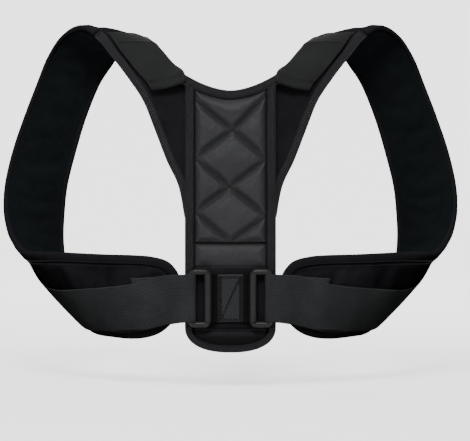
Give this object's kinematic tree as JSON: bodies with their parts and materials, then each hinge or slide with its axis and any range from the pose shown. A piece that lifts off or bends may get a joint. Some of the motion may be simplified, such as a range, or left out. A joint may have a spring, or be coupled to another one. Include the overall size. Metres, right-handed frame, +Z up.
{
  "type": "back brace",
  "caption": "Posture brace with a quilted spine panel, padded shoulder loops, ring buckles on webbing and hook tabs over the shoulders.",
  "frame": {"origin": "centre of the panel lining's flat face, where the brace rests on the wearer's back", "axes": "+X towards the right as seen from behind the wearer, +Y into the wearer, +Z up"},
  "size_m": [0.488, 0.156, 0.3315],
  "materials": {
    "panel_satin": "satin",
    "spacer_mesh": "matt mesh",
    "foam": "soft foam",
    "stay_board": "matt",
    "edge_tape": "ribbed",
    "webbing": "woven",
    "loop_fabric": "brushed",
    "hook_tape": "hooked",
    "buckle_plastic": "glossy"
  },
  "bodies": {
    "back_panel": {"back_lining": "spacer_mesh", "stiffener_board": "stay_board", "spine_foam": "foam", "quilted_cover": "panel_satin", "lower_cover": "panel_satin", "side_tape_left": "edge_tape", "side_tape_right": "edge_tape", "neck_binding": "edge_tape", "tongue_binding": "edge_tape", "anchor_webbing": "webbing"},
    "loop_left": {"wing_left": "loop_fabric", "wing_edge_tape_left": "edge_tape", "wing_neck_tape_left": "edge_tape", "strap_cover_left": "panel_satin", "strap_foam_left": "foam", "strap_lining_left": "spacer_mesh", "strap_binding_left": "edge_tape", "webbing_inner_left": "webbing", "webbing_outer_left": "webbing", "shoulder_tab_base_left": "webbing"},
    "loop_right": {"wing_right": "loop_fabric", "wing_edge_tape_right": "edge_tape", "wing_neck_tape_right": "edge_tape", "strap_cover_right": "panel_satin", "strap_foam_right": "foam", "strap_lining_right": "spacer_mesh", "strap_binding_right": "edge_tape", "webbing_inner_right": "webbing", "webbing_outer_right": "webbing", "shoulder_tab_base_right": "webbing"},
    "buckle_left": {"ring_buckle_left": "buckle_plastic", "webbing_fold_left": "webbing"},
    "buckle_right": {"ring_buckle_right": "buckle_plastic", "webbing_fold_right": "webbing"},
    "tab_left": {"shoulder_tab_left": "webbing", "shoulder_hook_left": "hook_tape"},
    "tab_right": {"shoulder_tab_right": "webbing", "shoulder_hook_right": "hook_tape"},
    "tip_left": {"webbing_tip_left": "webbing", "tip_hook_left": "hook_tape"},
    "tip_right": {"webbing_tip_right": "webbing", "tip_hook_right": "hook_tape"}
  },
  "joints": [
    {"name": "loop_swing_left", "type": "hinge", "parent": "back_panel", "child": "loop_left", "pos_m": [-0.022, -0.015, -0.0759], "axis": [0, 0, 1], "range_deg": [0, 30]},
    {"name": "loop_swing_right", "type": "hinge", "parent": "back_panel", "child": "loop_right", "pos_m": [0.022, -0.015, -0.0759], "axis": [0, 0, -1], "range_deg": [0, 30]},
    {"name": "buckle_swing_left", "type": "hinge", "parent": "loop_left", "child": "buckle_left", "pos_m": [-0.022, -0.015, -0.0759], "axis": [0, 0, 1], "range_deg": [0, 14]},
    {"name": "buckle_swing_right", "type": "hinge", "parent": "loop_right", "child": "buckle_right", "pos_m": [0.022, -0.015, -0.0759], "axis": [0, 0, -1], "range_deg": [0, 14]},
    {"name": "tab_peel_left", "type": "hinge", "parent": "loop_left", "child": "tab_left", "pos_m": [-0.09988, 0.02904, 0.18494], "axis": [-0.9976, 0.0679, 0.0103], "range_deg": [0, 80]},
    {"name": "tab_peel_right", "type": "hinge", "parent": "loop_right", "child": "tab_right", "pos_m": [0.09988, 0.02904, 0.18494], "axis": [-0.9976, -0.0679, -0.0103], "range_deg": [0, 80]},
    {"name": "tip_peel_left", "type": "hinge", "parent": "loop_left", "child": "tip_left", "pos_m": [-0.20811, 0.13149, 0.04346], "axis": [-0.9891, -0.1462, -0.0149], "range_deg": [0, 75]},
    {"name": "tip_peel_right", "type": "hinge", "parent": "loop_right", "child": "tip_right", "pos_m": [0.20811, 0.13149, 0.04346], "axis": [-0.9891, 0.1462, 0.0149], "range_deg": [0, 75]}
  ]
}
